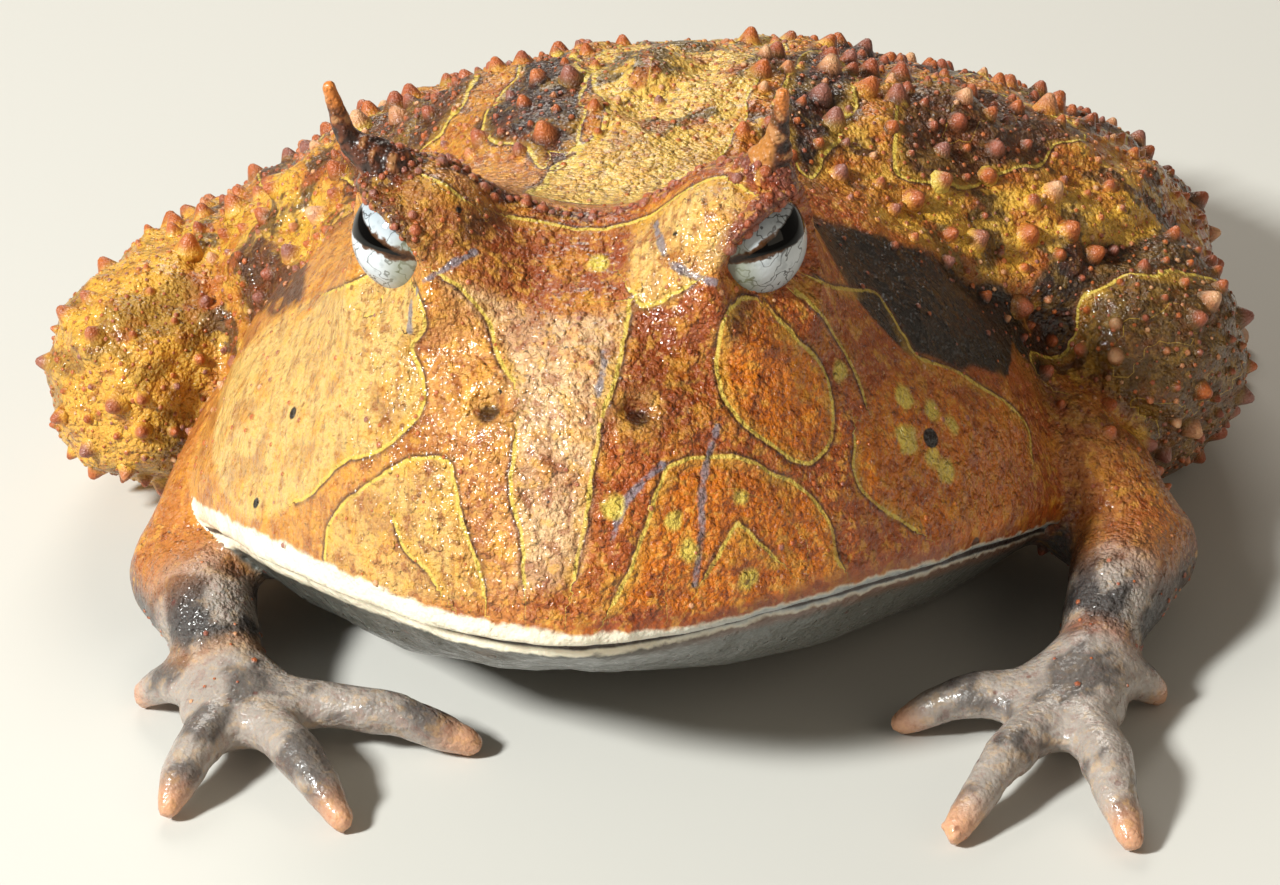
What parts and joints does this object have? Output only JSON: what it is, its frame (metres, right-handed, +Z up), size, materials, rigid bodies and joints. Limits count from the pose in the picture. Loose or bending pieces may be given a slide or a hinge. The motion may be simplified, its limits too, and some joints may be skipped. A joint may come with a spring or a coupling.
{
  "type": "surinam horned frog figure",
  "caption": "Life-size still model of a crouching Surinam horned frog, with a wide mouth, pointed horns over the eyes and a warty back.",
  "frame": {"origin": "on the floor, at a point of the flat under the belly", "axes": "+Z up, the frog faces -Y and its left side is towards +X"},
  "size_m": [0.0958, 0.1048, 0.0487],
  "materials": {
    "skin": "moist, finely granular skin, rust orange and ochre with dark brown patches",
    "lip": "moist, smooth pale skin of the lower jaw",
    "digits": "moist pinkish grey skin with dark bands",
    "eye": "wet silver iris with a dark bar",
    "horn": "granular dark brown skin with an orange tip"
  },
  "bodies": {
    "root": {"torso": "skin", "lower_jaw": "lip", "head": "skin", "eye_right": "eye", "eye_left": "eye", "horn_right": "horn", "horn_left": "horn", "upper_arm_right": "skin", "upper_arm_left": "skin", "forearm_right": "skin", "forearm_left": "skin", "palm_right": "digits", "palm_left": "digits", "finger_right_1": "digits", "finger_right_2": "digits", "finger_right_3": "digits", "finger_right_4": "digits", "finger_left_1": "digits", "finger_left_2": "digits", "finger_left_3": "digits", "finger_left_4": "digits", "thigh_right": "skin", "thigh_left": "skin", "shank_right": "skin", "shank_left": "skin", "foot_right": "digits", "foot_left": "digits", "toe_right_1": "digits", "toe_right_2": "digits", "toe_right_3": "digits", "toe_right_4": "digits", "toe_right_5": "digits", "toe_left_1": "digits", "toe_left_2": "digits", "toe_left_3": "digits", "toe_left_4": "digits", "toe_left_5": "digits"}
  },
  "joints": []
}
